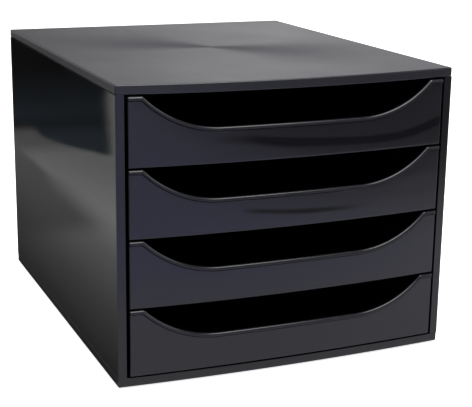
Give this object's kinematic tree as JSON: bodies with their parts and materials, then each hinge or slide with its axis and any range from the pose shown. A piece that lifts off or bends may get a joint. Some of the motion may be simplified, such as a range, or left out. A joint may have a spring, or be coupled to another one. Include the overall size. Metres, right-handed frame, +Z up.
{
  "type": "desktop drawer cabinet",
  "caption": "Low desktop cabinet with pull-out trays for flat paper, scooped tray fronts, a flat lid to stack on and non-slip feet.",
  "frame": {"origin": "on the desk, under the middle of the cabinet's footprint", "axes": "+Z up, +Y towards the back (the trays pull out along -Y), +X to the right seen from the front"},
  "size_m": [0.284, 0.35, 0.237],
  "materials": {
    "case_plastic": "smooth black with a soft sheen, glossier on the sides",
    "tray_plastic": "smooth black with a soft sheen",
    "foot_rubber": "matt"
  },
  "bodies": {
    "case": {"top_panel": "case_plastic", "bottom_panel": "case_plastic", "left_side_panel": "case_plastic", "right_side_panel": "case_plastic", "back_panel": "case_plastic", "foot_front_left": "foot_rubber", "foot_front_right": "foot_rubber", "foot_rear_left": "foot_rubber", "foot_rear_right": "foot_rubber"},
    "drawer_1": {"drawer_1": "tray_plastic"},
    "drawer_2": {"drawer_2": "tray_plastic"},
    "drawer_3": {"drawer_3": "tray_plastic"},
    "drawer_4": {"drawer_4": "tray_plastic"}
  },
  "joints": [
    {"name": "drawer_1_slide", "type": "slide", "parent": "case", "child": "drawer_1", "axis": [0, -1, 0], "range_m": [0, 0.255]},
    {"name": "drawer_2_slide", "type": "slide", "parent": "case", "child": "drawer_2", "axis": [0, -1, 0], "range_m": [0, 0.255]},
    {"name": "drawer_3_slide", "type": "slide", "parent": "case", "child": "drawer_3", "axis": [0, -1, 0], "range_m": [0, 0.255]},
    {"name": "drawer_4_slide", "type": "slide", "parent": "case", "child": "drawer_4", "axis": [0, -1, 0], "range_m": [0, 0.255]}
  ]
}
